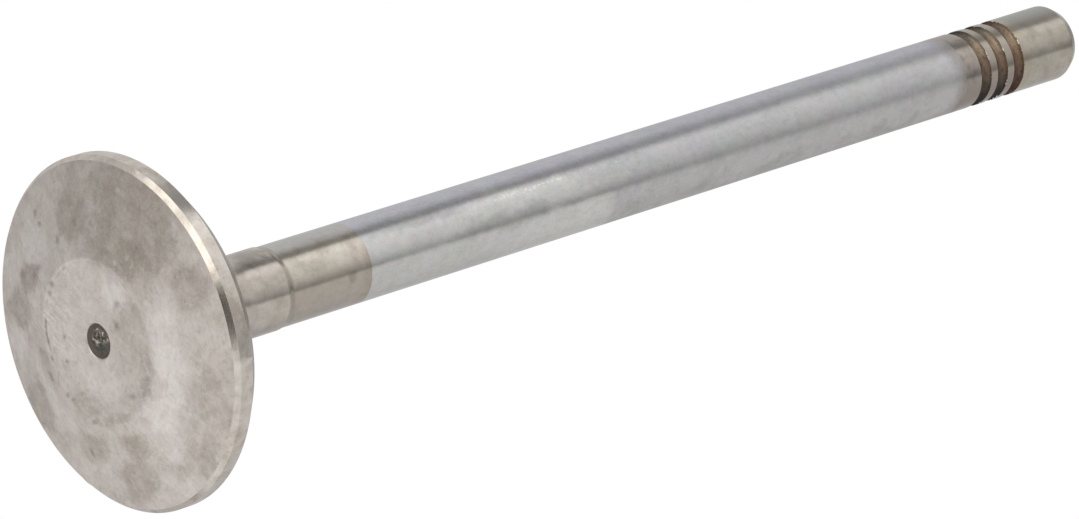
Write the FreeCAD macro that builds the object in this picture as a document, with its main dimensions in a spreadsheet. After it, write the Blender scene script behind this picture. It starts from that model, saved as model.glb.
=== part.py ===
import FreeCAD, Part
import math
import os
import Sketcher

# Engine exhaust valve, turned from one forged blank.
# It stands on its head: the origin is the centre of the flat in the middle of its convex face,
# and +Z runs up the stem.
# Lengths are in millimetres and angles in degrees.

DIMENSIONS = [
    # head, from the face upwards
    ("head_diameter", 42.7, "outside of the margin"),
    ("face_flat_diameter", 19.8, "flat middle of the convex face, on which the valve stands"),
    ("face_cone_height", 2.73, "how far the face falls back from its flat to the bevel"),
    ("face_chamfer_radial", 0.56, "bevel between face and margin, inwards"),
    ("face_chamfer_axial", 0.6, "bevel between face and margin, upwards"),
    ("margin_height", 1.7, "straight band between bevel and seat cone"),
    ("seat_angle", 44.5, "seat cone from the plane of the face"),
    ("seat_face_width", 3.0, "seat cone along its slope"),
    ("back_angle", 20.0, "back of the head from the plane of the face"),
    ("head_fillet_radius", 11.0, "sweep from the back of the head into the neck"),
    # centre hole in the face
    ("centre_hole_diameter", 4.2, "centre hole that carries the head on the lathe"),
    ("centre_hole_depth", 2.2, "straight part of the centre hole, from the flat"),
    ("drill_point_angle", 118.0, "cone at the bottom of the centre hole"),
    # neck and stem
    ("neck_diameter", 10.26, "turned neck, left a little thicker than the ground stem"),
    ("neck_length", 5.2, "straight neck between the fillet and the step"),
    ("neck_step_length", 0.6, "taper from the neck down to the ground stem"),
    ("stem_diameter", 10.0, "ground stem"),
    ("overall_length", 163.6, "from the flat of the face to the end of the stem"),
    ("tip_chamfer_radial", 0.69, "lead-in at the stem's end, inwards"),
    ("tip_chamfer_axial", 1.25, "lead-in at the stem's end, along the stem"),
    # keeper grooves
    ("groove_form_radius", 0.95, "round nose of the tool that forms a keeper groove"),
    ("groove_depth", 0.75, "how deep a keeper groove is cut"),
    ("groove_pitch", 3.12, "from one keeper groove to the next"),
    ("groove_count", 3, "keeper grooves"),
    ("tip_to_groove", 11.68, "from the stem's end to the middle of the groove nearest to it"),
]

# End points of a sketch line, as the constraints number them
START = 1
END = 2
CENTRE = 3
# The sketch's own origin point
ORIGIN = (-1, 1)


def add_sheet(doc):
    """The driving dimensions, one row each: name, value and what it measures."""
    sheet = doc.addObject("Spreadsheet::Sheet", "dimensions")
    for row, (name, value, meaning) in enumerate(DIMENSIONS, start=1):
        sheet.set("A%d" % row, name)
        sheet.set("B%d" % row, str(value))
        sheet.set("C%d" % row, meaning)
        sheet.setAlias("B%d" % row, name)
    doc.recompute()
    return sheet


def add_sketch(body, name, plane_role):
    """An empty sketch on one of the body's own origin planes."""
    plane = next(p for p in body.Origin.OriginFeatures if p.Role == plane_role)
    sketch = body.newObject("Sketcher::SketchObject", name)
    sketch.AttachmentSupport = [(plane, "")]
    sketch.MapMode = "FlatFace"
    return sketch


def bind(sketch, kind, places, start_value, name, expression):
    """A dimension of the sketch that follows an expression over the sheet's cells."""
    index = sketch.addConstraint(Sketcher.Constraint(kind, *places, start_value))
    sketch.renameConstraint(index, name)
    sketch.setExpression("Constraints." + name, expression)


def add_line(sketch, first, second):
    """A straight line between two (radius, height) points; returns its number."""
    return sketch.addGeometry(Part.LineSegment(FreeCAD.Vector(*first, 0), FreeCAD.Vector(*second, 0)), False)


def join(sketch, first, second):
    """Makes two end points one."""
    sketch.addConstraint(Sketcher.Constraint("Coincident", *first, *second))


def turned_cut(body, sketch, name):
    """A cut made by turning a sketch once round the stem's axis."""
    cut = body.newObject("PartDesign::Groove", name)
    cut.Profile = (sketch, [""])
    cut.ReferenceAxis = (sketch, ["V_Axis"])
    cut.Angle = 360.0
    body.Tip = cut
    return cut


def add_blank(body, dims):
    """The turned valve before its grooves and centre hole: half a section, revolved."""
    sketch = add_sketch(body, "BlankProfile", "XZ_Plane")

    # Where the outline's points lie, so that the sketch opens close to its solution
    seat_slope = math.radians(dims["seat_angle"])
    back_slope = math.radians(dims["back_angle"])
    head = dims["head_diameter"] / 2
    neck = dims["neck_diameter"] / 2
    stem = dims["stem_diameter"] / 2
    top = dims["overall_length"]
    sweep = dims["head_fillet_radius"]
    flat_rim = (dims["face_flat_diameter"] / 2, 0)
    cone_rim = (head - dims["face_chamfer_radial"], dims["face_cone_height"])
    margin_foot = (head, cone_rim[1] + dims["face_chamfer_axial"])
    margin_top = (head, margin_foot[1] + dims["margin_height"])
    seat_top = (
        head - dims["seat_face_width"] * math.cos(seat_slope),
        margin_top[1] + dims["seat_face_width"] * math.sin(seat_slope),
    )
    back_end_radius = neck + sweep * (1 - math.sin(back_slope))
    back_end = (back_end_radius, seat_top[1] + (seat_top[0] - back_end_radius) * math.tan(back_slope))
    sweep_centre = (neck + sweep, back_end[1] + sweep * math.cos(back_slope))
    neck_foot = (neck, sweep_centre[1])
    neck_top = (neck, neck_foot[1] + dims["neck_length"])
    stem_foot = (stem, neck_top[1] + dims["neck_step_length"])
    stem_top = (stem, top - dims["tip_chamfer_axial"])
    tip_edge = (stem - dims["tip_chamfer_radial"], top)

    # The outline, from the centre of the face round to the axis again
    flat = add_line(sketch, (0, 0), flat_rim)
    face_cone = add_line(sketch, flat_rim, cone_rim)
    face_chamfer = add_line(sketch, cone_rim, margin_foot)
    margin = add_line(sketch, margin_foot, margin_top)
    seat = add_line(sketch, margin_top, seat_top)
    back = add_line(sketch, seat_top, back_end)
    fillet = sketch.addGeometry(
        Part.ArcOfCircle(
            Part.Circle(FreeCAD.Vector(*sweep_centre, 0), FreeCAD.Vector(0, 0, 1), sweep),
            math.pi,
            1.5 * math.pi - back_slope,
        ),
        False,
    )
    neck_line = add_line(sketch, neck_foot, neck_top)
    neck_step = add_line(sketch, neck_top, stem_foot)
    stem_line = add_line(sketch, stem_foot, stem_top)
    tip_chamfer = add_line(sketch, stem_top, tip_edge)
    tip = add_line(sketch, tip_edge, (0, top))
    axis = add_line(sketch, (0, top), (0, 0))

    # How the pieces of the outline meet
    join(sketch, (flat, START), ORIGIN)
    join(sketch, (flat, END), (face_cone, START))
    join(sketch, (face_cone, END), (face_chamfer, START))
    join(sketch, (face_chamfer, END), (margin, START))
    join(sketch, (margin, END), (seat, START))
    join(sketch, (seat, END), (back, START))
    sketch.addConstraint(Sketcher.Constraint("Tangent", back, END, fillet, END))
    sketch.addConstraint(Sketcher.Constraint("Tangent", fillet, START, neck_line, START))
    join(sketch, (neck_line, END), (neck_step, START))
    join(sketch, (neck_step, END), (stem_line, START))
    join(sketch, (stem_line, END), (tip_chamfer, START))
    join(sketch, (tip_chamfer, END), (tip, START))
    join(sketch, (tip, END), (axis, START))
    join(sketch, (axis, END), ORIGIN)
    for level in (flat, tip):
        sketch.addConstraint(Sketcher.Constraint("Horizontal", level))
    for upright in (margin, neck_line, stem_line, axis):
        sketch.addConstraint(Sketcher.Constraint("Vertical", upright))

    # The head
    bind(sketch, "DistanceX", (*ORIGIN, margin, START), head, "head_radius", "dimensions.head_diameter / 2")
    bind(sketch, "DistanceX", (*ORIGIN, flat, END), flat_rim[0], "flat_radius", "dimensions.face_flat_diameter / 2")
    bind(sketch, "DistanceY", (flat, END, face_cone, END), dims["face_cone_height"],
         "face_cone_up", "dimensions.face_cone_height")
    bind(sketch, "DistanceX", (face_cone, END, margin, START), dims["face_chamfer_radial"],
         "face_chamfer_in", "dimensions.face_chamfer_radial")
    bind(sketch, "DistanceY", (face_cone, END, margin, START), dims["face_chamfer_axial"],
         "face_chamfer_up", "dimensions.face_chamfer_axial")
    bind(sketch, "DistanceY", (margin, START, margin, END), dims["margin_height"],
         "margin_up", "dimensions.margin_height")
    bind(sketch, "Distance", (seat,), dims["seat_face_width"], "seat_width", "dimensions.seat_face_width")
    bind(sketch, "Angle", (seat,), math.pi - seat_slope, "seat_direction", "180 deg - dimensions.seat_angle * 1 deg")
    bind(sketch, "Angle", (back,), math.pi - back_slope, "back_direction", "180 deg - dimensions.back_angle * 1 deg")
    bind(sketch, "Radius", (fillet,), sweep, "fillet_radius", "dimensions.head_fillet_radius")

    # The neck and the stem
    bind(sketch, "DistanceX", (*ORIGIN, neck_line, END), neck, "neck_radius", "dimensions.neck_diameter / 2")
    bind(sketch, "DistanceY", (neck_line, START, neck_line, END), dims["neck_length"],
         "neck_up", "dimensions.neck_length")
    bind(sketch, "DistanceY", (neck_step, START, neck_step, END), dims["neck_step_length"],
         "neck_step_up", "dimensions.neck_step_length")
    bind(sketch, "DistanceX", (*ORIGIN, stem_line, END), stem, "stem_radius", "dimensions.stem_diameter / 2")
    bind(sketch, "DistanceX", (tip, START, stem_line, END), dims["tip_chamfer_radial"],
         "tip_chamfer_in", "dimensions.tip_chamfer_radial")
    bind(sketch, "DistanceY", (stem_line, END, tip, START), dims["tip_chamfer_axial"],
         "tip_chamfer_up", "dimensions.tip_chamfer_axial")
    bind(sketch, "DistanceY", (*ORIGIN, tip, START), top, "length", "dimensions.overall_length")

    blank = body.newObject("PartDesign::Revolution", "Blank")
    blank.Profile = (sketch, [""])
    blank.ReferenceAxis = (sketch, ["V_Axis"])
    blank.Angle = 360.0
    body.Tip = blank
    return blank


def add_centre_hole(body, dims):
    """The blind centre hole, drilled into the face's flat along the stem's axis."""
    sketch = add_sketch(body, "CentreHoleCircle", "XY_Plane")
    circle = sketch.addGeometry(
        Part.Circle(FreeCAD.Vector(0, 0, 0), FreeCAD.Vector(0, 0, 1), dims["centre_hole_diameter"] / 2),
        False,
    )
    join(sketch, (circle, CENTRE), ORIGIN)
    bind(sketch, "Diameter", (circle,), dims["centre_hole_diameter"],
         "hole_diameter", "dimensions.centre_hole_diameter")
    body.Document.recompute()

    hole = body.newObject("PartDesign::Hole", "CentreHole")
    hole.Profile = (sketch, [""])
    hole.Reversed = True
    hole.ThreadType = "None"
    hole.DepthType = "Dimension"
    hole.DrillPoint = "Angled"
    hole.setExpression("Diameter", "dimensions.centre_hole_diameter")
    hole.setExpression("Depth", "dimensions.centre_hole_depth")
    hole.setExpression("DrillPointAngle", "dimensions.drill_point_angle")
    body.Tip = hole
    return hole


def add_keeper_grooves(body, dims):
    """Round-bottomed keeper grooves: one is turned next to the tip, then repeated towards the head."""
    sketch = add_sketch(body, "KeeperGrooveCircle", "XZ_Plane")
    nose = dims["groove_form_radius"]
    offset = dims["stem_diameter"] / 2 - dims["groove_depth"] + nose
    height = dims["overall_length"] - dims["tip_to_groove"]
    circle = sketch.addGeometry(
        Part.Circle(FreeCAD.Vector(offset, height, 0), FreeCAD.Vector(0, 0, 1), nose),
        False,
    )
    bind(sketch, "Radius", (circle,), nose, "nose_radius", "dimensions.groove_form_radius")
    bind(sketch, "DistanceX", (*ORIGIN, circle, CENTRE), offset, "nose_offset",
         "dimensions.stem_diameter / 2 - dimensions.groove_depth + dimensions.groove_form_radius")
    bind(sketch, "DistanceY", (*ORIGIN, circle, CENTRE), height, "groove_height",
         "dimensions.overall_length - dimensions.tip_to_groove")
    groove = turned_cut(body, sketch, "KeeperGroove")

    row = body.newObject("PartDesign::LinearPattern", "KeeperGrooves")
    row.Originals = [groove]
    row.Direction = (sketch, ["V_Axis"])
    row.Reversed = True
    row.Mode = "Spacing"
    row.setExpression("Offset", "dimensions.groove_pitch")
    row.setExpression("Occurrences", "dimensions.groove_count")
    body.Tip = row
    return row


def check_document(doc):
    """Stops if any object of the document failed."""
    for obj in doc.Objects:
        if "Invalid" in obj.State or "Error" in obj.State:
            raise RuntimeError("%s failed: %s" % (obj.Name, obj.State))


def check_removed(before, after, name):
    """Stops if a cut left the volume as it was."""
    if after >= before - 1e-3:
        raise RuntimeError("%s cut nothing" % name)


doc = FreeCAD.newDocument("engine_valve")
add_sheet(doc)
dims = {name: value for name, value, meaning in DIMENSIONS}

valve = doc.addObject("PartDesign::Body", "Valve")
valve.Label = "valve"
valve.Placement = FreeCAD.Placement(FreeCAD.Vector(0, 0, 0), FreeCAD.Rotation())

add_blank(valve, dims)
doc.recompute()
check_document(doc)
volume = valve.Shape.Volume
for add_cut in (add_centre_hole, add_keeper_grooves):
    feature = add_cut(valve, dims)
    doc.recompute()
    check_document(doc)
    check_removed(volume, valve.Shape.Volume, feature.Label)
    volume = valve.Shape.Volume

sub_parts = [valve]
for sub_part in sub_parts:
    shape = sub_part.Shape
    if shape.isNull() or not shape.isValid() or len(shape.Solids) != 1:
        raise RuntimeError("%s is not one valid solid" % sub_part.Label)

os.makedirs("parts", exist_ok=True)
for sub_part in sub_parts:
    sub_part.Shape.exportStep("parts/%s.step" % sub_part.Label)
    box = sub_part.Shape.BoundBox
    print("%s: %.3f mm3, X %.3f to %.3f, Z %.3f to %.3f" % (
        sub_part.Label, sub_part.Shape.Volume, box.XMin, box.XMax, box.ZMin, box.ZMax))
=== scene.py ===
import math

import bpy
from mathutils import Matrix, Vector


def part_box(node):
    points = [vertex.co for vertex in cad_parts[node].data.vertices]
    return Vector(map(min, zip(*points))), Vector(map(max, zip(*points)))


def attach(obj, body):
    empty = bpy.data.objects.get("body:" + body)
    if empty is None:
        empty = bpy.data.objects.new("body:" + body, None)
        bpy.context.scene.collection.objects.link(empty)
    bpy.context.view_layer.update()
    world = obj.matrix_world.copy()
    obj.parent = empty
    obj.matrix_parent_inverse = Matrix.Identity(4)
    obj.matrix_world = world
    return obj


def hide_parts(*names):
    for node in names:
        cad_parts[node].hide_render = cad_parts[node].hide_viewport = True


# A used engine exhaust valve: one forged steel blank, turned, ground and partly chrome plated.
# It stands on its head, with +Z up the stem. Its section is written down stretch by stretch,
# from the bottom of the centre hole, out over the face and up the stem, and turned once round.
# Its sizes, and those of the patterns on it, are real millimetres; heights are from the face's flat.
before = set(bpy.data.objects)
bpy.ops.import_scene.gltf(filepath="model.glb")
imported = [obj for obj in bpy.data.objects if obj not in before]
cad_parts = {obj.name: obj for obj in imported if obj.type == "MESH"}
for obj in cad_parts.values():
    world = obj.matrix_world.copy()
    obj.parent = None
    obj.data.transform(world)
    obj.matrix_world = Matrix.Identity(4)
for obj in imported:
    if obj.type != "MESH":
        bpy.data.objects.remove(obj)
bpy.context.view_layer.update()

MM = 0.001


# The centre hole: a blind hole in the middle of the face that carried the head on the lathe.
# It has filled with burnt oil and scale, baked to a hard lumpy crust with a few painted glints.
HOLE_RADIUS = 2.1
HOLE_LIP = 0.13
CRUST_DEPTH = 0.46
CRUST_RISE = 0.06
WALL_FOOT_RADIUS = 1.66
WALL_FOOT_DEPTH = 0.42
LUMP_WIDTH = 0.75
LUMP_HEIGHT = 0.42
LUMPS_STOP = 1.25
CRUST_BEND_RADIUS = 1.302

outline = []


def turn_to(finish, radius, height, rounding=0.0, step=2.0):
    """Carries the section on to a corner: its radius and height, how far it is rounded, and the
    spacing of the rows on the way to it, all in millimetres, and the finish of that stretch."""
    outline.append({
        "at": Vector((radius, height)), "finish": finish, "rounding": rounding, "step": step,
    })


turn_to("crust", 0.0, CRUST_DEPTH - CRUST_RISE)
turn_to("crust", CRUST_BEND_RADIUS, CRUST_DEPTH, 0.6, step=0.1)
turn_to("crust", WALL_FOOT_RADIUS, WALL_FOOT_DEPTH, 0.12, step=0.1)
turn_to("crust", HOLE_RADIUS, HOLE_LIP, 0.04, step=0.1)


def colour(code):
    """An sRGB hex colour as the linear one that a shader takes."""
    parts = [int(code[i:i + 2], 16) / 255 for i in (1, 3, 5)]
    return (*[p / 12.92 if p <= 0.04045 else ((p + 0.055) / 1.055) ** 2.4 for p in parts], 1.0)


def add(tree, kind, inputs=(), stops=(), **settings):
    """A node with its settings, its inputs (plain values, or sockets to link) and any ramp stops."""
    made = tree.nodes.new(kind)
    for name, value in settings.items():
        setattr(made, name, value)
    for key, value in dict(inputs).items():
        if isinstance(value, bpy.types.NodeSocket):
            tree.links.new(value, made.inputs[key])
        else:
            made.inputs[key].default_value = value
    for number, (place, code) in enumerate(stops):
        elements = made.color_ramp.elements
        element = elements[number] if number < 2 else elements.new(place)
        element.position = place
        element.color = colour(code) if isinstance(code, str) else (code, code, code, 1.0)
    return made


finishes = {}


def new_finish(stretch, name):
    """An empty material for a stretch of the section: its node tree, and the place on the valve
    in millimetres."""
    material = bpy.data.materials.new(name)
    material.use_nodes = True
    finishes[stretch] = material
    tree = material.node_tree
    tree.nodes.clear()
    place = add(tree, "ShaderNodeTexCoord").outputs["Object"]
    scaled = add(tree, "ShaderNodeVectorMath", {0: place, "Scale": 1 / MM}, operation="SCALE")
    return tree, scaled.outputs[0]


def clouds(tree, place, width, stretch=(1, 1, 1), detail=6.0, roughness=0.6):
    """A pattern of cloudy patches of the given width in millimetres; a stretch over 1 along an
    axis draws them out."""
    squeezed = add(tree, "ShaderNodeVectorMath", {
        0: place, 1: [1 / (width * along) for along in stretch]}, operation="MULTIPLY")
    return add(tree, "ShaderNodeTexNoise", {
        "Vector": squeezed.outputs[0], "Scale": 1.0, "Detail": detail, "Roughness": roughness}).outputs[0]


def mottle(tree, place, width, stops, stretch=(1, 1, 1), detail=6.0, roughness=0.6):
    """A tone clouded from dark to light, and the pattern of its clouds."""
    pattern = clouds(tree, place, width, stretch, detail, roughness)
    return add(tree, "ShaderNodeValToRGB", {0: pattern}, stops).outputs[0], pattern


def stain(tree, tone, pattern, code, start, full):
    """Lays a colour over a tone where a pattern passes from one value to another."""
    where = add(tree, "ShaderNodeMapRange", {
        "Value": pattern, "From Min": start, "From Max": full}, interpolation_type="SMOOTHSTEP")
    laid = add(tree, "ShaderNodeMix", {0: where.outputs[0], 6: tone, 7: colour(code)}, data_type="RGBA")
    return laid.outputs[2]


def ragged_stain(tree, tone, level, pattern, tear, code, start, full):
    """The same where a level passes from one value to another, its edge torn by a pattern."""
    torn = add(tree, "ShaderNodeMath", {0: pattern, 1: tear, 2: level}, operation="MULTIPLY_ADD")
    return stain(tree, tone, torn.outputs[0], code, start, full)


def from_axis(tree, place):
    """How far a place lies out from the valve's axis."""
    flattened = add(tree, "ShaderNodeVectorMath", {0: place, 1: (1, 1, 0)}, operation="MULTIPLY")
    return add(tree, "ShaderNodeVectorMath", {0: flattened.outputs[0]}, operation="LENGTH").outputs["Value"]


def close_finish(tree, inputs):
    """The metal's own shader, and the material's output."""
    metal = add(tree, "ShaderNodeBsdfPrincipled", inputs)
    add(tree, "ShaderNodeOutputMaterial", {"Surface": metal.outputs[0]})


# Baked carbon and scale: brown-grey on the sloping wall, and inside it grains about 0.5 mm wide
# from near black to near white, the palest of them painted glints, and smoother on one side.
# Oil has baked to a half glossy varnish.
tree, place = new_finish("crust", "baked_carbon_crust")
# Painted highlight: the light end of this ramp paints glints onto the grains
tone, grain = mottle(tree, place, 0.5, (
    (0.34, "#38352F"), (0.44, "#544F47"), (0.53, "#736D64"), (0.60, "#A8A298"), (0.68, "#E2DDD5")),
    detail=4.0)
along = add(tree, "ShaderNodeSeparateXYZ", {0: place}).outputs["X"]
tone = ragged_stain(tree, tone, along, grain, 1.2, "#585850", 0.8, 1.5)
radius = from_axis(tree, place)
tone = ragged_stain(
    tree, tone, radius, grain, 0.5, "#5F554E", WALL_FOOT_RADIUS + 0.05, WALL_FOOT_RADIUS + 0.24)
relief = add(tree, "ShaderNodeBump", {"Height": grain, "Distance": 0.25 * MM, "Strength": 1.0})
close_finish(tree, {"Base Color": tone, "Metallic": 0.5, "Roughness": 0.36, "Normal": relief.outputs[0]})


# The face: it closes off the combustion chamber. Turned convex, with a flat middle, then
# stained and matted by heat and deposits, and cleaned until the steel shows again in patches.
FACE_FLAT_RADIUS = 9.9
FACE_RISE = 2.73
BEVEL_IN = 0.56
HEAD_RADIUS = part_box("valve")[1].x / MM

turn_to("face", HOLE_RADIUS + HOLE_LIP, 0.0, 0.03)
turn_to("face", FACE_FLAT_RADIUS, 0.0, 1.0, step=0.45)
turn_to("face", HEAD_RADIUS - BEVEL_IN, FACE_RISE, 0.07, step=0.45)

# Cleaned and stained places on the face: X and Y of the middle, reach along X and along Y, and
# how much lighter (above nought) or darker than the steel round them
FACE_PATCHES = (
    (-11.8, -10.8, 9.0, 10.0, -0.10), (-8.2, -13.0, 5.0, 5.0, -0.02),
    (-14.8, -0.6, 3.8, 3.8, -0.10), (-2.4, -17.0, 3.4, 4.0, -0.09), (-8.0, -10.0, 2.6, 4.0, -0.03),
    (-1.6, -13.0, 2.6, 3.4, 0.07), (1.6, -11.8, 3.2, 2.8, 0.08), (4.8, -11.2, 3.2, 3.0, 0.09),
    (7.8, -9.2, 3.0, 3.0, 0.08), (10.2, -6.4, 2.8, 3.2, 0.08), (13.4, -5.4, 3.4, 2.8, 0.08),
    (-5.4, -5.6, 3.0, 3.6, 0.08), (-5.6, -0.8, 4.6, 2.6, 0.05), (4.2, 2.8, 3.4, 4.6, 0.06),
    (-1.0, 5.2, 4.4, 3.2, 0.04), (7.0, -6.8, 1.6, 2.8, -0.09), (4.6, -8.2, 2.2, 1.0, -0.08),
    (6.6, 5.8, 2.2, 3.4, -0.08), (-4.4, -5.4, 2.0, 2.8, 0.05), (11.6, -13.8, 5.6, 5.0, -0.05),
    (16.4, -9.0, 3.0, 4.0, -0.05), (13.0, 0.2, 2.4, 3.0, -0.12), (16.8, 3.6, 3.4, 6.0, -0.09),
    (11.8, 8.6, 2.4, 4.0, -0.08), (12.4, 12.6, 3.0, 4.0, 0.03), (15.6, 7.8, 2.4, 3.6, 0.05),
    (5.4, 17.0, 4.2, 4.6, -0.09), (0.9, 11.8, 2.4, 2.2, -0.09), (-6.4, 15.0, 3.2, 4.0, -0.11),
    (-9.6, 10.6, 2.6, 3.6, -0.10), (-7.4, 7.6, 3.4, 2.2, 0.03), (-13.4, 8.4, 3.0, 4.6, 0.12),
    (-16.8, 6.4, 3.0, 4.4, 0.03), (-11.2, 14.4, 2.4, 4.0, 0.08), (-3.0, 17.6, 3.2, 2.6, 0.12),
    (3.0, 13.4, 4.8, 1.8, 0.09), (7.8, 12.4, 2.4, 4.0, 0.08), (-7.2, 10.0, 1.6, 2.4, 0.08),
    (-19.0, -3.0, 2.6, 6.0, -0.05), (19.0, -3.0, 2.2, 6.0, 0.05), (-10.6, 3.0, 2.6, 4.0, 0.07),
    (9.2, 2.2, 1.2, 5.0, -0.05), (8.2, -15.8, 2.4, 2.0, -0.05), (17.0, -4.0, 1.6, 3.4, -0.04),
    (-17.0, -8.0, 3.0, 5.0, -0.04),
)
# Small burnt-in marks and nicks: X and Y of the middle, and reach along X and along Y
FACE_MARKS = (
    (4.9, 8.9, 0.6, 1.1), (5.6, 8.1, 0.5, 0.7), (0.3, 9.6, 0.9, 0.4), (-16.5, 6.8, 0.9, 0.8),
    (-15.1, 6.2, 0.6, 1.0), (-8.0, 5.2, 0.7, 1.0), (-7.1, 6.1, 0.6, 0.6), (1.1, 6.9, 0.5, 0.6),
    (-1.7, 6.0, 0.5, 0.6), (-1.1, -4.3, 1.2, 0.9), (-10.3, 7.8, 0.7, 1.3), (-9.6, 9.0, 1.2, 1.5),
    (-10.2, 12.0, 1.1, 1.4), (8.8, 5.6, 0.5, 1.3), (-12.6, 2.6, 1.2, 0.8), (2.2, 11.4, 1.0, 1.0),
    (-14.0, -1.2, 1.4, 1.0), (12.0, 9.6, 1.2, 0.9), (-3.4, -5.6, 0.8, 1.2), (7.2, -3.2, 0.6, 1.2),
)
# The radius of the crease at the edge of the flat, along which a darker ring is painted as its
# shade, then the arc of it where that painted shade is darkest, the side where the cone is painted
# lighter than the flat as if lit, and the part that was wiped, each as X and Y of the middle and
# reach along X and along Y, and last the heading of the wiping marks
CREASE_RADIUS = 9.45
CREASE_SHADE_ARC = (-2.9, 9.0, 3.0, 1.6)
LIT_CONE_SIDE = (4.5, -8.0, 10.0, 9.0)
WIPED = (-4.5, 6.5, 9.0, 9.0)
WIPED_TURN = math.radians(38)

# Martensitic valve steel, matt and warm grey: stains are olive brown, cleaned places pinkish.
# Patches are 2 to 8 mm wide, and the grain in them 0.3 to 1 mm; fine turning marks run round.
tree, place = new_finish("face", "heat_stained_valve_steel")


def speckle(tree, tone, place, width, stops, stretch=(1, 1, 1), detail=4.0, roughness=0.6):
    """Darkens or tints a tone with a cloudy film of its own."""
    film = mottle(tree, place, width, stops, stretch, detail, roughness)[0]
    return add(tree, "ShaderNodeMix", {
        0: 1.0, 6: tone, 7: film}, data_type="RGBA", blend_type="MULTIPLY").outputs[2]


def ragged(tree, place, width, amount):
    """The place on the face, moved about by noise, so that what is drawn there has torn edges."""
    wander = add(tree, "ShaderNodeTexNoise", {
        "Vector": place, "Scale": 1 / width, "Detail": 8.0, "Roughness": 0.76})
    shift = add(tree, "ShaderNodeVectorMath", {
        0: wander.outputs["Color"], 1: (0.5, 0.5, 0.5)}, operation="SUBTRACT")
    moved = add(tree, "ShaderNodeVectorMath", {
        0: shift.outputs[0], 1: (2 * amount, 2 * amount, 0), 2: place}, operation="MULTIPLY_ADD")
    return add(tree, "ShaderNodeVectorMath", {
        0: moved.outputs[0], 1: (1, 1, 0)}, operation="MULTIPLY").outputs[0]


def spot(tree, place, middle, reach, inner, height=1.0):
    """A spot about a middle on the face: the given height inside, and nought past its reach."""
    away = add(tree, "ShaderNodeVectorMath", {0: place, 1: (*middle, 0)}, operation="SUBTRACT")
    away = add(tree, "ShaderNodeVectorMath", {
        0: away.outputs[0], 1: (1 / reach[0], 1 / reach[1], 0)}, operation="MULTIPLY")
    away = add(tree, "ShaderNodeVectorMath", {0: away.outputs[0]}, operation="LENGTH")
    made = add(tree, "ShaderNodeMapRange", {
        "Value": away.outputs["Value"], "From Min": inner, "From Max": 1.0,
        "To Min": height, "To Max": 0.0}, interpolation_type="SMOOTHSTEP")
    return made.outputs[0]


torn = ragged(tree, place, 1.8, 2.0)
swirl = ragged(tree, place, 3.5, 1.8)
cloud = clouds(tree, swirl, 4.0, detail=11.0, roughness=0.8)
cloud = add(tree, "ShaderNodeMapRange", {"Value": cloud, "To Min": 0.22, "To Max": 0.78}).outputs[0]
for x, y, reach_x, reach_y, lighter in FACE_PATCHES:
    patch = spot(tree, torn, (x, y), (reach_x, reach_y), 0.5, lighter)
    cloud = add(tree, "ShaderNodeMath", {0: cloud, 1: patch}, operation="ADD").outputs[0]
past_flat = add(tree, "ShaderNodeMath", {
    0: from_axis(tree, ragged(tree, place, 0.8, 0.5)), 1: -CREASE_RADIUS}, operation="ADD").outputs[0]
# Painted light and shade across the crease: darker just inside it, lighter outside it, on the cone's lit
# side
step = add(tree, "ShaderNodeMapRange", {
    "Value": past_flat, "From Min": -0.3, "From Max": 0.3, "To Min": -0.03, "To Max": 0.03}).outputs[0]
lit_cone_side = spot(tree, torn, LIT_CONE_SIDE[:2], LIT_CONE_SIDE[2:], 0.5)
cloud = add(tree, "ShaderNodeMath", {0: step, 1: lit_cone_side, 2: cloud}, operation="MULTIPLY_ADD").outputs[0]
tone = add(tree, "ShaderNodeValToRGB", {0: cloud}, stops=(
    (0.26, "#978F85"), (0.40, "#AFA79F"), (0.50, "#C4BDB6"), (0.61, "#D2CCC7"), (0.76, "#DEDAD6"))
).outputs[0]

# Films on it: a thin cool white one in torn sheets, bright veins where sheets have cracked off,
# grains and blots of scale, and marks of the wiping, which run one way
film = clouds(tree, swirl, 3.0, detail=10.0, roughness=0.74)
tone = stain(tree, tone, film, "#D4D1CD", 0.56, 0.74)
cracks = clouds(tree, torn, 3.4, detail=7.0, roughness=0.62)
veins = add(tree, "ShaderNodeMath", {0: cracks, 1: -0.5}, operation="ADD").outputs[0]
veins = add(tree, "ShaderNodeMath", {0: veins}, operation="ABSOLUTE").outputs[0]
tone = stain(tree, tone, veins, "#D6D1CC", 0.015, -0.016)
tone = speckle(tree, tone, torn, 1.5, ((0.33, 0.76), (0.38, 0.92), (0.43, 1.0)), detail=9.0, roughness=0.78)
grains, grain = mottle(tree, place, 0.8, (
    (0.28, 0.64), (0.40, 0.92), (0.54, 1.03)), stretch=(1.2, 0.9, 1.0), detail=7.0, roughness=0.8)
tone = add(tree, "ShaderNodeMix", {
    0: 1.0, 6: tone, 7: grains}, data_type="RGBA", blend_type="MULTIPLY").outputs[2]
along_wipe = add(tree, "ShaderNodeMapping", {"Vector": swirl, "Rotation": (0, 0, WIPED_TURN)}).outputs[0]
wiping = clouds(tree, along_wipe, 0.4, stretch=(14, 1, 1), detail=4.0)
wiped = spot(tree, torn, WIPED[:2], WIPED[2:], 0.2, 0.12)
wiped = add(tree, "ShaderNodeMath", {0: wiping, 1: wiped}, operation="ADD").outputs[0]
tone = stain(tree, tone, wiped, "#D8D3CF", 0.60, 0.80)
tone = speckle(tree, tone, place, 2.4, ((0.40, "#FEFEFC"), (0.60, "#FFFCFE")), detail=3.0)

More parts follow.
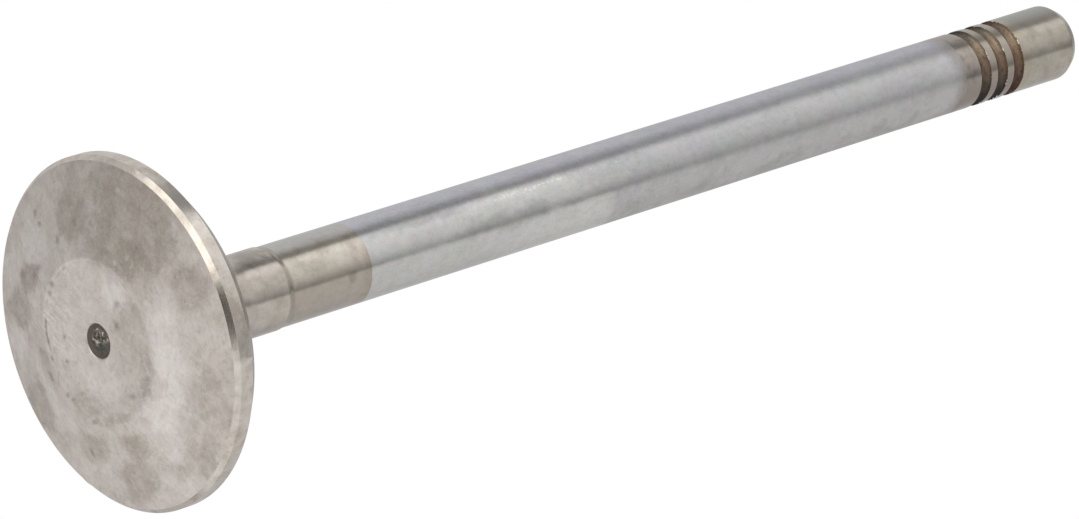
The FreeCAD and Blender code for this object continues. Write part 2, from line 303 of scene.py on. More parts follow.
# Turning marks: a pattern laid out along the radius, and drawn out 3 mm round the axis
flattened = add(tree, "ShaderNodeVectorMath", {0: place, 1: (1, 1, 0)}, operation="MULTIPLY")
heading = add(tree, "ShaderNodeVectorMath", {0: flattened.outputs[0]}, operation="NORMALIZE")
out = add(tree, "ShaderNodeCombineXYZ", {"Z": from_axis(tree, place)})
round_axis = add(tree, "ShaderNodeVectorMath", {
    0: heading.outputs[0], 1: (12, 12, 0), 2: out.outputs[0]}, operation="MULTIPLY_ADD").outputs[0]
tone = speckle(tree, tone, round_axis, 0.3, ((0.30, 0.93), (0.50, 1.0)), stretch=(10, 10, 1), roughness=0.7)
# Painted shade: a darker ring along the crease, darkest on one arc of it
from_crease = add(tree, "ShaderNodeMath", {0: past_flat}, operation="ABSOLUTE").outputs[0]
tone = ragged_stain(tree, tone, from_crease, cracks, 1.6, "#A8A099", 0.90, 0.45)
crease_shade = spot(tree, torn, CREASE_SHADE_ARC[:2], CREASE_SHADE_ARC[2:], 0.5, -0.5)
crease_shade = add(tree, "ShaderNodeMath", {0: from_crease, 1: crease_shade}, operation="ADD").outputs[0]
tone = stain(tree, tone, crease_shade, "#8F867D", -0.16, -0.56)
marks = 0.0
fine = ragged(tree, place, 0.5, 0.5)
for x, y, reach_x, reach_y in FACE_MARKS:
    mark = spot(tree, fine, (x, y), (reach_x, reach_y), 0.0)
    marks = add(tree, "ShaderNodeMath", {0: marks, 1: mark}, operation="ADD").outputs[0]
tone = stain(tree, tone, marks, "#8D847B", 0.0, 1.7)
matt = add(tree, "ShaderNodeMapRange", {
    "Value": cloud, "From Min": 0.3, "From Max": 0.7, "To Min": 0.46, "To Max": 0.37})
dents = add(tree, "ShaderNodeMath", {0: marks, 1: -2.0, 2: grain}, operation="MULTIPLY_ADD")
relief = add(tree, "ShaderNodeBump", {"Height": dents.outputs[0], "Distance": 0.02 * MM, "Strength": 1.0})
close_finish(tree, {
    "Base Color": tone, "Metallic": 1.0, "Roughness": matt.outputs[0], "Normal": relief.outputs[0]})


# The rim: a small bevel and the margin, the straight band that keeps the head's edge from
# burning. Both are finish turned and were polished bright by handling.
BEVEL_UP = 0.6
MARGIN_UP = 1.7
bevel_top = FACE_RISE + BEVEL_UP
margin_top = bevel_top + MARGIN_UP

turn_to("rim", HEAD_RADIUS, bevel_top, 0.06, step=0.2)
turn_to("rim", HEAD_RADIUS, margin_top, 0.05, step=0.3)

# Bright turned steel, faintly clouded, with fine tool marks that run round it, drawn 0.2 mm wide
# so that they show.
tree, place = new_finish("rim", "bright_turned_valve_steel")
tone, cloud = mottle(tree, place, 2.0, ((0.34, "#B9AFA4"), (0.48, "#CCC4BB"), (0.65, "#D8D1CA")))
tone = speckle(tree, tone, place, 0.4, ((0.26, 0.78), (0.38, 0.97), (0.6, 1.0)))
wear = add(tree, "ShaderNodeMapRange", {
    "Value": cloud, "From Min": 0.3, "From Max": 0.7, "To Min": 0.26, "To Max": 0.17})
tooling = clouds(tree, place, 0.2, stretch=(30, 30, 1), detail=2.0)
relief = add(tree, "ShaderNodeBump", {"Height": tooling, "Distance": 0.003 * MM, "Strength": 1.0})
close_finish(tree, {
    "Base Color": tone, "Metallic": 1.0, "Roughness": wear.outputs[0], "Normal": relief.outputs[0]})


# The seat, back and neck: the ground cone that seals on the seat insert and is hammered matt by
# it, the forged and turned back of the head, the sweep into the neck, and the bare stem's foot.
SEAT_ANGLE = math.radians(44.5)
SEAT_WIDTH = 3.0
BACK_ANGLE = math.radians(20)
SWEEP_RADIUS = 11.0
NECK_RADIUS = 5.13
STEM_RADIUS = 5.0
NECK_UP = 5.2
STEP_UP = 0.6
PLATING_START = 38.06

seat_top = Vector((
    HEAD_RADIUS - SEAT_WIDTH * math.cos(SEAT_ANGLE),
    margin_top + SEAT_WIDTH * math.sin(SEAT_ANGLE),
))
# Where the line of the back would meet the line of the neck, if no sweep joined them
back_meets_neck = seat_top.y + (seat_top.x - NECK_RADIUS) * math.tan(BACK_ANGLE)
sweep_end = back_meets_neck + SWEEP_RADIUS * math.tan((math.pi / 2 - BACK_ANGLE) / 2)
step_foot = sweep_end + NECK_UP
step_top = step_foot + STEP_UP

turn_to("seat", *seat_top, 0.08, step=0.5)
turn_to("neck", NECK_RADIUS, back_meets_neck, SWEEP_RADIUS, step=0.9)
turn_to("neck", NECK_RADIUS, step_foot, 0.8)
turn_to("bare", STEM_RADIUS, step_top, 0.8)
turn_to("bare", STEM_RADIUS, PLATING_START)

# Ground seat steel, darkened and pitted by the hot gas that passes it.
tree, place = new_finish("seat", "ground_seat_steel")
tone, cloud = mottle(tree, place, 1.6, ((0.35, "#8E857C"), (0.5, "#A59C92"), (0.65, "#B8B0A7")))
relief = add(tree, "ShaderNodeBump", {"Height": cloud, "Distance": 0.02 * MM, "Strength": 1.0})
close_finish(tree, {"Base Color": tone, "Metallic": 1.0, "Roughness": 0.32, "Normal": relief.outputs[0]})


def stem_marks(tree, tone, place, depth):
    """Clouds left by oil and hands, and grinding marks round the stem, drawn 0.25 to 1 mm wide so
    that they show: a tone with them in it, and a normal."""
    tone = speckle(tree, tone, place, 3.2, (
        (0.32, 0.92), (0.46, 0.98), (0.60, 1.0)), stretch=(1, 1, 2), detail=9.0, roughness=0.7)
    tone = speckle(tree, tone, place, 2.8, ((0.42, "#FFFDFE"), (0.58, "#FDFFFC")), stretch=(1, 1, 1.6))
    tone = speckle(tree, tone, place, 0.9, ((0.3, 0.965), (0.5, 1.0)), stretch=(6, 6, 1), detail=3.0)
    grinding = clouds(tree, place, 0.25, stretch=(14, 14, 1), detail=2.0)
    relief = add(tree, "ShaderNodeBump", {"Height": grinding, "Distance": depth * MM, "Strength": 1.0})
    return tone, relief.outputs[0]


def blotch(tree, place, middle, size, pattern, tear):
    """How far a point lies from the middle of a blotch, in its own sizes along X, Y and Z, with
    the edge torn by a pattern."""
    away = add(tree, "ShaderNodeVectorMath", {0: place, 1: middle}, operation="SUBTRACT")
    away = add(tree, "ShaderNodeVectorMath", {
        0: away.outputs[0], 1: [1 / along for along in size]}, operation="MULTIPLY")
    away = add(tree, "ShaderNodeVectorMath", {0: away.outputs[0]}, operation="LENGTH")
    tear_to = add(tree, "ShaderNodeMath", {0: pattern, 1: -0.5}, operation="ADD")
    made = add(tree, "ShaderNodeMath", {
        0: tear_to.outputs[0], 1: tear, 2: away.outputs["Value"]}, operation="MULTIPLY_ADD")
    return made.outputs[0]


# Turned neck steel, satin and warm grey, with a painted dark reflection of the head's back on
# top and painted shade in the corner of the step.
tree, place = new_finish("neck", "turned_neck_steel")
tone, cloud = mottle(tree, place, 2.6, ((0.34, "#AEA59C"), (0.5, "#BEB6AE"), (0.66, "#C9C2BA")), detail=8.0)
height = add(tree, "ShaderNodeSeparateXYZ", {0: place}).outputs["Z"]
# Painted shade: a darker band at the top of the neck, in the corner of the step
tone = ragged_stain(tree, tone, height, cloud, 1.2, "#A59D93", step_foot + 0.3, step_foot + 0.8)
# Painted reflection: a darker patch on top, where the head's back is mirrored
back_reflection_patch = blotch(tree, place, (-4.2, -2.9, 22.6), (2.0, 2.8, 3.6), cloud, 2.4)
tone = stain(tree, tone, back_reflection_patch, "#A39C95", 1.2, 0.3)
tone = speckle(tree, tone, place, 0.9, (
    (0.34, 0.90), (0.46, 0.985), (0.60, 1.05)), stretch=(1, 1, 1.5), detail=9.0, roughness=0.84)
tone, normal = stem_marks(tree, tone, place, 0.0015)
close_finish(tree, {"Base Color": tone, "Metallic": 1.0, "Roughness": 0.17, "Normal": normal})

# The same steel, ground: browned by heat towards the plating and on its lower side, with a
# painted cool grey reflection on top and painted shade by the step.
tree, place = new_finish("bare", "ground_bare_steel")
tone, cloud = mottle(tree, place, 2.2, ((0.34, "#B5ACA1"), (0.5, "#C6BEB3"), (0.66, "#D1CAC0")), detail=8.0)
parts = add(tree, "ShaderNodeSeparateXYZ", {0: place}).outputs
tone = ragged_stain(tree, tone, parts["X"], cloud, 3.0, "#B4ABA3", 1.2, 3.6)
# Painted reflection: a cool grey top
tone = ragged_stain(tree, tone, parts["X"], cloud, -1.5, "#B8B6B4", -3.4, -5.0)
slanted = add(tree, "ShaderNodeMath", {
    0: parts["X"], 1: 0.25, 2: parts["Z"]}, operation="MULTIPLY_ADD").outputs[0]
tone = ragged_stain(tree, tone, slanted, cloud, 2.4, "#ADA295", PLATING_START, PLATING_START + 1.9)
# Painted shade: a darker band at the foot of the ground steel, by the step
tone = ragged_stain(tree, tone, parts["Z"], cloud, -1.2, "#A59D93", step_top - 0.2, step_top - 0.8)
spilt = blotch(tree, place, (1.95, -4.6, 35.0), (0.9, 0.9, 0.7), cloud, 2.2)
tone = stain(tree, tone, spilt, "#A0988E", 1.2, 0.2)
tone = speckle(tree, tone, place, 0.9, (
    (0.34, 0.88), (0.46, 0.985), (0.60, 1.06)), stretch=(1, 1, 1.5), detail=9.0, roughness=0.84)
tone, normal = stem_marks(tree, tone, place, 0.0015)
close_finish(tree, {"Base Color": tone, "Metallic": 1.0, "Roughness": 0.18, "Normal": normal})


# The plated stem: it runs in the valve guide. Ground true, then hard chrome plated and ground
# again. Oil films and handling have clouded the bright chrome, more so towards the tip.
PLATING_END = 141.93
FILM_END = 78.0

turn_to("plating", STEM_RADIUS, PLATING_END, step=4.0)

# Hard chrome, with a painted bluish reflection on top and a painted pinkish one on the lower side.
# A milky dried film lies on its lower side next to the head, with grime past it; above it lies a
# darker smear, then a strip of painted glints.
tree, place = new_finish("plating", "hard_chrome")
tone, cloud = mottle(tree, place, 3.0, (
    (0.34, "#B4B3B6"), (0.5, "#BDBDBE"), (0.66, "#C6C5C5")), (1, 1, 1.6), detail=8.0, roughness=0.66)
parts = add(tree, "ShaderNodeSeparateXYZ", {0: place}).outputs
tone = ragged_stain(tree, tone, parts["Z"], cloud, 16.0, "#BFBEBF", 84.0, 92.0)
# Painted reflection: a bluish tint on the top side
tone = ragged_stain(tree, tone, parts["X"], cloud, 3.0, "#BEBDC5", -0.6, -2.2)
dried = blotch(tree, place, (0.0, -5.0, 56.0), (3.6, 6.0, 24.0), cloud, 1.6)
tone = stain(tree, tone, dried, "#CDCCCA", 1.0, 0.6)
lower = add(tree, "ShaderNodeMath", {0: cloud, 1: 1.6, 2: parts["X"]}, operation="MULTIPLY_ADD").outputs[0]
milky = add(tree, "ShaderNodeMapRange", {
    "Value": lower, "From Min": 1.9, "From Max": 2.3}, interpolation_type="SMOOTHSTEP")
ends = add(tree, "ShaderNodeMapRange", {
    "Value": parts["Z"], "From Min": FILM_END - 1.0, "From Max": FILM_END + 0.6,
    "To Min": 1.0, "To Max": 0.15})
milky = add(tree, "ShaderNodeMath", {
    0: milky.outputs[0], 1: ends.outputs[0]}, operation="MULTIPLY").outputs[0]
# Painted reflection: a pinkish tint on the lower side
tone = stain(tree, tone, lower, "#C0BDBE", 1.9, 2.6)
tone = ragged_stain(tree, tone, parts["X"], cloud, -9.0, "#B0ADAB", -1.2, 0.8)
tone = stain(tree, tone, milky, "#CDCBC9", 0.0, 1.0)
thick = add(tree, "ShaderNodeMapRange", {"Value": parts["Z"], "From Min": 54.0, "From Max": 66.0})
thick = add(tree, "ShaderNodeMath", {0: milky, 1: thick.outputs[0]}, operation="MULTIPLY")
tone = stain(tree, tone, thick.outputs[0], "#D3D2CF", 0.0, 1.0)
dulled = blotch(tree, place, (-2.2, -4.5, 47.0), (0.9, 1.4, 10.0), cloud, 2.0)
tone = stain(tree, tone, dulled, "#B4B3B4", 1.1, 0.3)
smear = blotch(tree, place, (1.0, -4.9, 61.5), (1.5, 1.6, 11.0), cloud, 3.0)
tone = stain(tree, tone, smear, "#BEBDBB", 1.1, 0.3)
# Painted highlight: a strip along the top edge of the highlight where bright glints are laid
painted_glint_strip = blotch(tree, place, (-2.0, -4.6, 67.0), (0.5, 1.0, 12.0), cloud, 2.0)
tone = speckle(tree, tone, place, 0.8, (
    (0.34, 0.87), (0.46, 0.985), (0.60, 1.07)), stretch=(1, 1, 1.5), detail=9.0, roughness=0.84)
tone = speckle(tree, tone, place, 1.8, ((0.40, "#FFFDFB"), (0.60, "#FBFDFF")), detail=6.0, roughness=0.7)
tone = speckle(tree, tone, place, 4.0, ((0.37, 0.965), (0.50, 1.0), (0.63, 1.02)), detail=3.0)
tone = speckle(tree, tone, place, 0.35, ((0.27, 0.86), (0.38, 1.0)), detail=3.0)
# Painted highlight: the bright glint specks laid along that strip
painted_glint_specks = clouds(tree, place, 0.28, stretch=(1, 1, 1.4), detail=3.0)
tone = ragged_stain(tree, tone, painted_glint_strip, painted_glint_specks, -4.0, "#DFDDD9", -1.6, -2.3)
heat = add(tree, "ShaderNodeMath", {0: cloud, 1: 3.0, 2: parts["Z"]}, operation="MULTIPLY_ADD").outputs[0]
tone = stain(tree, tone, heat, "#A7A09E", PLATING_END - 1.6, PLATING_END + 2.0)
browned = add(tree, "ShaderNodeMath", {0: parts["X"], 1: 0.3, 2: heat}, operation="MULTIPLY_ADD").outputs[0]
tone = stain(tree, tone, browned, "#988E87", PLATING_END + 0.6, PLATING_END + 2.6)
patchy = clouds(tree, place, 2.0, detail=7.0, roughness=0.68)
tone = ragged_stain(tree, tone, parts["Z"], patchy, 14.0, "#A3A09E", PLATING_END + 5.0, PLATING_END + 9.0)
tone, normal = stem_marks(tree, tone, place, 0.001)
dull = add(tree, "ShaderNodeMapRange", {
    "Value": parts["Z"], "From Min": PLATING_START, "From Max": PLATING_END,
    "To Min": 0.16, "To Max": 0.32})
dull = add(tree, "ShaderNodeMath", {0: cloud, 1: 0.08, 2: dull.outputs[0]}, operation="MULTIPLY_ADD")
bare = add(tree, "ShaderNodeMapRange", {"Value": milky, "To Min": 0.94, "To Max": 0.84})
close_finish(tree, {
    "Base Color": tone, "Metallic": bare.outputs[0], "Roughness": dull.outputs[0], "Normal": normal})


# The keeper grooves: three round-bottomed grooves that the keepers grip. They were hardened
# with the tip, and hold brown scale that nothing has rubbed off.
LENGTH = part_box("valve")[1].z / MM
TIP_TO_GROOVE = 11.68
GROOVE_PITCH = 3.12
GROOVES = 3
GROOVE_NOSE = 0.95
GROOVE_DEPTH = 0.75
GROOVE_EDGE = 0.06

nose_offset = STEM_RADIUS - GROOVE_DEPTH + GROOVE_NOSE
half_turn = math.acos((nose_offset - STEM_RADIUS) / GROOVE_NOSE)
half_width = GROOVE_NOSE * math.sin(half_turn)
ARC_ROWS = 14
for number in reversed(range(GROOVES)):
    middle = LENGTH - TIP_TO_GROOVE - number * GROOVE_PITCH
    turn_to("land", STEM_RADIUS, middle - half_width, GROOVE_EDGE, step=0.8)
    for row in range(1, ARC_ROWS):
        turned = half_turn * (2 * row / ARC_ROWS - 1)
        out = nose_offset - GROOVE_NOSE * math.cos(turned)
        turn_to("groove", out, middle + GROOVE_NOSE * math.sin(turned))
    turn_to("groove", STEM_RADIUS, middle + half_width, GROOVE_EDGE)
last_groove_end = middle + half_width

# Hardening scale, with painted light and shade across it: tan in the lit middle, and brown to
# purple-black towards the top and bottom, where it also lies thick; rust brown in the groove next
# to the tip, and chipped to bright steel along the edges.
CHIPS_START = STEM_RADIUS + 0.885
CHIPS_FULL = STEM_RADIUS + 0.955

tree, place = new_finish("groove", "brown_hardening_scale")
patches, cloud = mottle(tree, place, 0.6, (
    (0.32, 0.36), (0.45, 0.80), (0.60, 1.08)), stretch=(1.6, 1.6, 0.6), detail=7.0, roughness=0.76)
parts = add(tree, "ShaderNodeSeparateXYZ", {0: place}).outputs
# Painted light and shade: the scale's tone runs across X, dark at top and bottom, tan in the middle
across = add(tree, "ShaderNodeMapRange", {
    "Value": parts["X"], "From Min": -STEM_RADIUS, "From Max": STEM_RADIUS})
tone = add(tree, "ShaderNodeValToRGB", {0: across.outputs[0]}, stops=(
    (0.02, "#4A4542"), (0.14, "#857A6F"), (0.30, "#988A79"), (0.42, "#907F6E"), (0.50, "#867566"),
    (0.60, "#7E6A5C"), (0.76, "#5F544D"), (0.90, "#3C3634"), (1.0, "#302B2B"))).outputs[0]
rusty = add(tree, "ShaderNodeMath", {0: cloud, 1: 1.5, 2: parts["Z"]}, operation="MULTIPLY_ADD").outputs[0]
rust = add(tree, "ShaderNodeMapRange", {
    "Value": rusty, "From Min": last_groove_end - 1.4, "From Max": last_groove_end + 0.9,
    "To Max": 0.15})
tone = add(tree, "ShaderNodeMix", {
    0: rust.outputs[0], 6: tone, 7: colour("#94603A")}, data_type="RGBA").outputs[2]
tone = add(tree, "ShaderNodeVectorMath", {0: tone, "Scale": patches}, operation="SCALE").outputs[0]
tone = speckle(tree, tone, place, 0.8, (
    (0.36, "#FFEEDC"), (0.50, "#FFFFFF"), (0.64, "#E9F0E0")), stretch=(1.8, 1.8, 0.7), detail=5.0)
knocks = clouds(tree, place, 2.5, detail=2.0)
chipping = clouds(tree, place, 0.45, detail=3.0)
chips = add(tree, "ShaderNodeMath", {
    0: knocks, 1: 0.8, 2: from_axis(tree, place)}, operation="MULTIPLY_ADD").outputs[0]
chips = add(tree, "ShaderNodeMath", {0: chipping, 1: 0.9, 2: chips}, operation="MULTIPLY_ADD").outputs[0]
tone = stain(tree, tone, chips, "#E2DAD1", CHIPS_START, CHIPS_FULL)
shine = add(tree, "ShaderNodeMapRange", {
    "Value": chips, "From Min": CHIPS_START, "From Max": CHIPS_FULL, "To Min": 0.42, "To Max": 0.2})
relief = add(tree, "ShaderNodeBump", {"Height": cloud, "Distance": 0.04 * MM, "Strength": 1.0})
close_finish(tree, {
    "Base Color": tone, "Metallic": 0.85, "Roughness": shine.outputs[0], "Normal": relief.outputs[0]})

# The lands and the strip before the plating: steel with a lilac and straw temper film.
tree, place = new_finish("land", "tempered_stem_steel")
tone, cloud = mottle(
    tree, place, 1.3, ((0.34, "#908985"), (0.48, "#A39A92"), (0.66, "#B2AAA2")), detail=8.0)
tone = stain(tree, tone, clouds(tree, place, 2.6, detail=4.0), "#9C9093", 0.42, 0.70)
parts = add(tree, "ShaderNodeSeparateXYZ", {0: place}).outputs
tone = ragged_stain(tree, tone, parts["Z"], cloud, 2.0, "#AAA298", PLATING_END + 2.6, PLATING_END + 4.2)
tone = ragged_stain(tree, tone, parts["X"], cloud, 2.0, "#988D85", 2.2, 4.8)
tone, normal = stem_marks(tree, tone, place, 0.0015)
close_finish(tree, {"Base Color": tone, "Metallic": 1.0, "Roughness": 0.17, "Normal": normal})


# The tip: the plain end that the rocker or bridge pushes on, hardened and ground, with a
# lead-in chamfer for fitting the stem seal and the keepers.
TIP_IN = 0.69
TIP_UP = 1.25

turn_to("tip", STEM_RADIUS, LENGTH - TIP_UP, 0.6, step=2.0)
turn_to("tip", STEM_RADIUS - TIP_IN, LENGTH, 0.12, step=0.4)
turn_to("tip", 0.0, LENGTH, step=1.2)

# Hardened steel, satin, with a painted darker greenish grey reflection on top, a straw film and
# torn scale by the groove.
tree, place = new_finish("tip", "hardened_tip_steel")
tone, cloud = mottle(tree, place, 1.8, ((0.35, "#A69F94"), (0.5, "#B3ACA1"), (0.65, "#BDB7AD")))
parts = add(tree, "ShaderNodeSeparateXYZ", {0: place}).outputs
# Painted reflection: a darker greenish grey top
tone = ragged_stain(tree, tone, parts["X"], cloud, -1.5, "#9C9C96", -3.2, -5.0)
tone = ragged_stain(
    tree, tone, parts["Z"], cloud, 3.0, "#B0A795", last_groove_end + 3.4, last_groove_end + 1.2)
scale = clouds(tree, place, 0.5, detail=3.0)
tone = ragged_stain(
    tree, tone, parts["Z"], scale, 1.2, "#7A5F48", last_groove_end + 0.62, last_groove_end + 0.5)
tone, normal = stem_marks(tree, tone, place, 0.0015)
close_finish(tree, {"Base Color": tone, "Metallic": 1.0, "Roughness": 0.19, "Normal": normal})


# Turning: the section becomes an edge mesh, and a geometry tree lays a grid over it, wraps it
# once round the axis, raises the crust's lumps and the rim's burrs, closes the seam and the two
# poles, and gives each stretch its finish.
SEGMENTS = 320
ROUND_STEP = math.radians(11)
EASE = 0.05
MERGE = 0.002
# Burrs and dents that knocks have left on the rim: heading from the camera's side in degrees,
# height, reach, and how far they stand out, or in where it is below nought
RIM_BURRS = ((134, 3.2, 0.9, 0.14), (19, 4.8, 0.9, 0.14), (-52, 3.4, 0.8, -0.08), (232, 4.7, 1.0, -0.1))


def rows_to(start, end, step):
    """Points on a straight stretch after its start, with one close to each end, which keeps
    smooth shading flat in between."""
    length = (end - start).length
    if length < 4 * EASE:
        return [end]
    count = max(1, round((length - 2 * EASE) / step))
    inner = [EASE + (length - 2 * EASE) * k / count for k in range(count + 1)]
    return [start.lerp(end, at / length) for at in inner] + [end]


def trace(corners):
    """The section's points and the finish that leads up to each, with every corner rounded."""
    points = [(corners[0]["at"], corners[0]["finish"])]
    for number, corner in enumerate(corners[1:], start=1):
        here = corner["at"]
        before = (here - corners[number - 1]["at"]).normalized()
        last = number == len(corners) - 1
        after = before if last else (corners[number + 1]["at"] - here).normalized()
        turn = before.angle_signed(after, 0.0)
        reach = corner["rounding"] * math.tan(abs(turn) / 2)
        for point in rows_to(points[-1][0], here - before * reach, corner["step"]):
            points.append((point, corner["finish"]))
        if reach > 0:
            centre_side = Vector((before.y, -before.x)) * math.copysign(1, turn)
            centre = here - before * reach + centre_side * corner["rounding"]
            arm = here - before * reach - centre
            length = corner["rounding"] * abs(turn)
            count = max(2, math.ceil(abs(turn) / ROUND_STEP), math.ceil(length / corner["step"]))
            for k in range(1, count + 1):
                swung = arm.copy()
                swung.rotate(Matrix.Rotation(-turn * k / count, 2))
                points.append((centre + swung, corner["finish"]))
    return points


section = trace(outline)
names = list(finishes)
section_mesh = bpy.data.meshes.new("valve_section")
section_mesh.from_pydata(
    [(point.x * MM, 0.0, point.y * MM) for point, finish in section],
    [(k, k + 1) for k in range(len(section) - 1)], [])
kind = section_mesh.attributes.new("finish", "INT", "POINT")
kind.data.foreach_set("value", [names.index(finish) for point, finish in section])

turning = bpy.data.node_groups.new("turn_section", "GeometryNodeTree")
for label, socket_type in (
        ("Section", "NodeSocketGeometry"), ("Segments", "NodeSocketInt"), ("Merge", "NodeSocketFloat"),
        ("Lump Width", "NodeSocketFloat"), ("Lump Height", "NodeSocketFloat")):
    turning.interface.new_socket(label, in_out="INPUT", socket_type=socket_type)
turning.interface.new_socket("Valve", in_out="OUTPUT", socket_type="NodeSocketGeometry")
given = add(turning, "NodeGroupInput").outputs
rows = add(turning, "GeometryNodeAttributeDomainSize", {0: given["Section"]}).outputs["Point Count"]
columns = add(turning, "FunctionNodeIntegerMath", {0: given["Segments"], 1: 1}, operation="ADD")
grid = add(turning, "GeometryNodeMeshGrid", {"Vertices X": columns.outputs[0], "Vertices Y": rows})
index = add(turning, "GeometryNodeInputIndex").outputs[0]
row = add(turning, "FunctionNodeIntegerMath", {0: index, 1: rows}, operation="MODULO")
column = add(turning, "FunctionNodeIntegerMath", {0: index, 1: rows}, operation="DIVIDE_FLOOR")
position = add(turning, "GeometryNodeInputPosition").outputs[0]
at_row = add(turning, "GeometryNodeSampleIndex", {
    "Geometry": given["Section"], "Value": position, "Index": row.outputs[0]},
    data_type="FLOAT_VECTOR", domain="POINT")
share = add(turning, "ShaderNodeMath", {0: column.outputs[0], 1: given["Segments"]}, operation="DIVIDE")
angle = add(turning, "ShaderNodeMath", {0: share.outputs[0], 1: math.tau}, operation="MULTIPLY")
turned = add(turning, "ShaderNodeVectorRotate", {
    "Vector": at_row.outputs[0], "Angle": angle.outputs[0]}, rotation_type="Z_AXIS")
wrapped = add(turning, "GeometryNodeSetPosition", {
    "Geometry": grid.outputs["Mesh"], "Position": turned.outputs[0]})
unwrapped = add(turning, "GeometryNodeStoreNamedAttribute", {
    "Geometry": wrapped.outputs[0], "Name": "UVMap", "Value": grid.outputs["UV Map"]},
    data_type="FLOAT2", domain="CORNER")
# A face lies between its row and the next one, whose point names the finish that leads up to it
strips = add(turning, "FunctionNodeIntegerMath", {0: rows, 1: 1}, operation="SUBTRACT")
strip = add(turning, "FunctionNodeIntegerMath", {0: index, 1: strips.outputs[0]}, operation="MODULO")
far_row = add(turning, "FunctionNodeIntegerMath", {0: strip.outputs[0], 1: 1}, operation="ADD")
stored = add(turning, "GeometryNodeInputNamedAttribute", {"Name": "finish"}, data_type="INT")
of_strip = add(turning, "GeometryNodeSampleIndex", {
    "Geometry": given["Section"], "Value": stored.outputs[0], "Index": far_row.outputs[0]},
    data_type="INT", domain="POINT")
named = add(turning, "GeometryNodeStoreNamedAttribute", {
    "Geometry": unwrapped.outputs[0], "Name": "stretch", "Value": of_strip.outputs[0]},
    data_type="INT", domain="FACE")

# Lumps in the crust, which die out before the hole's wall
of_row = add(turning, "GeometryNodeSampleIndex", {
    "Geometry": given["Section"], "Value": stored.outputs[0], "Index": row.outputs[0]},
    data_type="INT", domain="POINT")
in_hole = add(turning, "FunctionNodeCompare", {2: of_row.outputs[0], 3: names.index("crust")},
              data_type="INT", operation="EQUAL")
inside = add(turning, "ShaderNodeMapRange", {
    "Value": from_axis(turning, position), "From Min": LUMPS_STOP * MM, "From Max": WALL_FOOT_RADIUS * MM,
    "To Min": 1.0, "To Max": 0.0}, interpolation_type="SMOOTHSTEP")
lump_scale = add(turning, "ShaderNodeMath", {0: 1.0, 1: given["Lump Width"]}, operation="DIVIDE")
lumps = add(turning, "ShaderNodeTexNoise", {
    "Vector": position, "Scale": lump_scale.outputs[0], "Detail": 3.0, "Roughness": 0.55})
raised = add(turning, "ShaderNodeMapRange", {
    "Value": lumps.outputs[0], "From Min": 0.3, "From Max": 0.7, "To Min": 0.5, "To Max": -0.5})
raised = add(turning, "ShaderNodeMath", {0: raised.outputs[0], 1: inside.outputs[0]}, operation="MULTIPLY")
raised = add(turning, "ShaderNodeMath", {
    0: raised.outputs[0], 1: given["Lump Height"]}, operation="MULTIPLY")
lift = add(turning, "ShaderNodeCombineXYZ", {"Z": raised.outputs[0]})
crusted = add(turning, "GeometryNodeSetPosition", {
    "Geometry": named.outputs[0], "Selection": in_hole.outputs[0], "Offset": lift.outputs[0]})

shaped = crusted
for heading, height, reach, out in RIM_BURRS:
    turned_to = math.radians(heading)
    centre = Vector((HEAD_RADIUS * math.sin(turned_to), -HEAD_RADIUS * math.cos(turned_to), height)) * MM
    away = add(turning, "ShaderNodeVectorMath", {0: position, 1: centre}, operation="DISTANCE")
    burr = add(turning, "ShaderNodeMapRange", {
        "Value": away.outputs["Value"], "From Max": reach * MM, "To Min": out * MM, "To Max": 0.0},
        interpolation_type="SMOOTHSTEP")
    outwards = add(turning, "ShaderNodeVectorMath", {0: centre.normalized(), "Scale": burr.outputs[0]},
                   operation="SCALE")
    shaped = add(turning, "GeometryNodeSetPosition", {
        "Geometry": shaped.outputs[0], "Offset": outwards.outputs[0]})

closed = add(turning, "GeometryNodeMergeByDistance", {
    "Geometry": shaped.outputs[0], "Distance": given["Merge"]})
smooth = add(turning, "GeometryNodeSetShadeSmooth", {"Geometry": closed.outputs[0]})
shaped = add(turning, "GeometryNodeRealizeInstances", {"Geometry": smooth.outputs[0]})
stretch = add(turning, "GeometryNodeInputNamedAttribute", {"Name": "stretch"}, data_type="INT")
for number, name in enumerate(names):
    same = add(turning, "FunctionNodeCompare", {2: stretch.outputs[0], 3: number},
               data_type="INT", operation="EQUAL")
    shaped = add(turning, "GeometryNodeSetMaterial", {
        "Geometry": shaped.outputs[0], "Selection": same.outputs[0], "Material": finishes[name]})
add(turning, "NodeGroupOutput", {"Valve": shaped.outputs[0]})

blank = bpy.data.objects.new("valve_section", section_mesh)
bpy.context.scene.collection.objects.link(blank)
modifier = blank.modifiers.new("turning", "NODES")
modifier.node_group = turning
sockets = {item.name: item.identifier for item in turning.interface.items_tree}
modifier[sockets["Segments"]] = SEGMENTS
modifier[sockets["Merge"]] = MERGE * MM
modifier[sockets["Lump Width"]] = LUMP_WIDTH * MM
modifier[sockets["Lump Height"]] = LUMP_HEIGHT * MM
evaluated = blank.evaluated_get(bpy.context.evaluated_depsgraph_get())
valve_mesh = bpy.data.meshes.new_from_object(evaluated)
bpy.data.objects.remove(blank)
valve = bpy.data.objects.new("turned_valve", valve_mesh)
bpy.context.scene.collection.objects.link(valve)
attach(valve, "root")
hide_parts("valve")


# The floor: a plain pale sheet under the valve's head. It is one-sided, because the photograph
# looks up at the head from below it, and it fades to the white of the background far out.
FLOOR_GAP = 0.2
FLOOR_RADIUS = 4.0
FADE_FROM = 0.15
FADE_TO = 1.4
FLOOR_SIDES = 96

